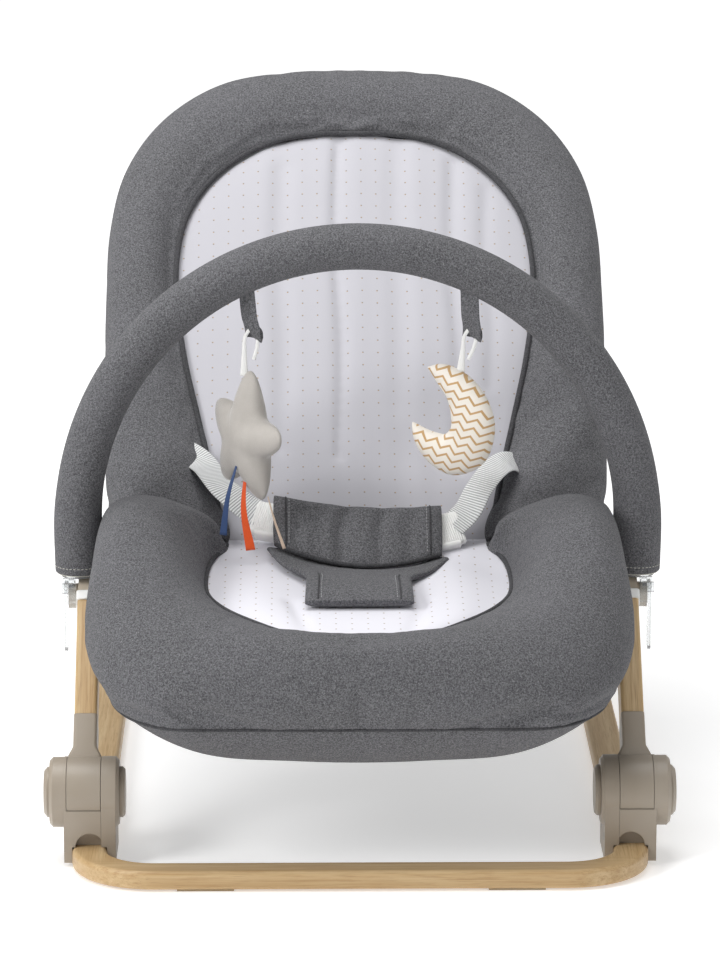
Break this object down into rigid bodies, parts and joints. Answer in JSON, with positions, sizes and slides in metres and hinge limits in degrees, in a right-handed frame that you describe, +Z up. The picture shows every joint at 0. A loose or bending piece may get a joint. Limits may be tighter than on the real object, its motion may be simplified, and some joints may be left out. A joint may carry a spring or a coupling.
{
  "type": "baby bouncer seat",
  "caption": "Reclined padded baby seat on leaning legs that fold down onto a floor ring, with a harness and a toy bar.",
  "frame": {"origin": "on the floor, at the middle of the base ring's outer box", "axes": "+X to the right seen from the front, +Y to the rear, where the head of the seat is, +Z up"},
  "size_m": [0.495, 0.65, 0.5737],
  "materials": {
    "wood": "satin",
    "taupe_plastic": "satin",
    "beige_plastic": "satin",
    "white_plastic": "satin",
    "clear_plastic": "polished",
    "inner_plastic": "matte",
    "steel": "brushed",
    "painted_steel": "satin",
    "rubber": "matte",
    "grey_fabric": "woven",
    "liner_fabric": "dotted cotton",
    "webbing": "ribbed",
    "tag_fabric": "satin weave",
    "foam": "foam",
    "core_plastic": "matte",
    "star_fabric": "velour",
    "ribbon": "satin ribbon",
    "moon_fabric": "printed chevrons"
  },
  "bodies": {
    "base": {"base_front_bar": "wood", "base_rear_bar": "wood", "rail_dowels": "steel", "floor_pads": "rubber", "left_hub_outer_shell": "taupe_plastic", "right_hub_outer_shell": "taupe_plastic", "left_hub_inner_shell": "taupe_plastic", "right_hub_inner_shell": "taupe_plastic", "hub_bolts": "steel", "hub_nuts": "steel", "shell_screws": "steel", "hub_caps": "taupe_plastic"},
    "legs": {"left_leg_socket": "taupe_plastic", "right_leg_socket": "taupe_plastic", "left_leg_bar": "wood", "right_leg_bar": "wood", "leg_collars": "white_plastic", "left_leg_post": "beige_plastic", "right_leg_post": "beige_plastic", "socket_screws": "steel", "seat_pivot_pins": "steel"},
    "seat": {"back_tube": "painted_steel", "seat_tube": "painted_steel", "left_seat_joint": "inner_plastic", "right_seat_joint": "inner_plastic", "frame_rivets": "steel", "back_pad": "grey_fabric", "back_liner": "liner_fabric", "seat_pad": "grey_fabric", "seat_liner": "liner_fabric", "left_wing_pad": "grey_fabric", "right_wing_pad": "grey_fabric", "seat_skirt": "grey_fabric", "waist_pad": "grey_fabric", "crotch_pad": "grey_fabric", "left_waist_strap": "webbing", "right_waist_strap": "webbing", "left_buckle": "white_plastic", "right_buckle": "white_plastic", "side_tag": "tag_fabric"},
    "toy_bar": {"toy_bar_core": "core_plastic", "toy_bar_foam": "foam", "toy_bar_sleeve": "grey_fabric", "left_end_clip": "clear_plastic", "right_end_clip": "clear_plastic", "toy_loops": "grey_fabric"},
    "star_toy": {"star_ring": "white_plastic", "star_body": "star_fabric", "star_ribbons": "ribbon"},
    "moon_toy": {"moon_ring": "white_plastic", "moon_body": "moon_fabric"},
    "left_button": {"left_fold_button": "taupe_plastic", "left_lock_gear": "inner_plastic", "left_button_spring": "steel"},
    "right_button": {"right_fold_button": "taupe_plastic", "right_lock_gear": "inner_plastic", "right_button_spring": "steel"},
    "left_lever": {"left_clip_lever": "clear_plastic"},
    "right_lever": {"right_clip_lever": "clear_plastic"}
  },
  "joints": [
    {"name": "leg_fold", "type": "hinge", "parent": "base", "child": "legs", "pos_m": [0, -0.233, 0.054], "axis": [1, 0, 0], "range_deg": [-30, 0]},
    {"name": "seat_recline", "type": "hinge", "parent": "legs", "child": "seat", "pos_m": [0, -0.10431, 0.18269], "axis": [1, 0, 0], "range_deg": [-15, 0]},
    {"name": "toy_bar_tilt", "type": "hinge", "parent": "legs", "child": "toy_bar", "pos_m": [0, -0.10431, 0.18269], "axis": [1, 0, 0], "range_deg": [-10, 30]},
    {"name": "star_swing", "type": "hinge", "parent": "toy_bar", "child": "star_toy", "pos_m": [-0.0885, -0.10431, 0.3946], "axis": [1, 0, 0], "range_deg": [-30, 5]},
    {"name": "moon_swing", "type": "hinge", "parent": "toy_bar", "child": "moon_toy", "pos_m": [0.0885, -0.10431, 0.3946], "axis": [1, 0, 0], "range_deg": [-30, 25]},
    {"name": "left_button_press", "type": "slide", "parent": "base", "child": "left_button", "axis": [1, 0, 0], "range_m": [0, 0.004], "stiffness_N_per_m": 600, "springref_m": -0.003, "deforming": ["left_button_spring"]},
    {"name": "right_button_press", "type": "slide", "parent": "base", "child": "right_button", "axis": [-1, 0, 0], "range_m": [0, 0.004], "stiffness_N_per_m": 600, "springref_m": -0.003, "deforming": ["right_button_spring"]},
    {"name": "left_lever_press", "type": "hinge", "parent": "toy_bar", "child": "left_lever", "pos_m": [-0.2347, -0.10431, 0.18869], "axis": [0, 1, 0], "range_deg": [0, 12], "stiffness_Nm_per_rad": 0.08, "springref_deg": -5.73},
    {"name": "right_lever_press", "type": "hinge", "parent": "toy_bar", "child": "right_lever", "pos_m": [0.2347, -0.10431, 0.18869], "axis": [0, -1, 0], "range_deg": [0, 12], "stiffness_Nm_per_rad": 0.08, "springref_deg": -5.73}
  ]
}
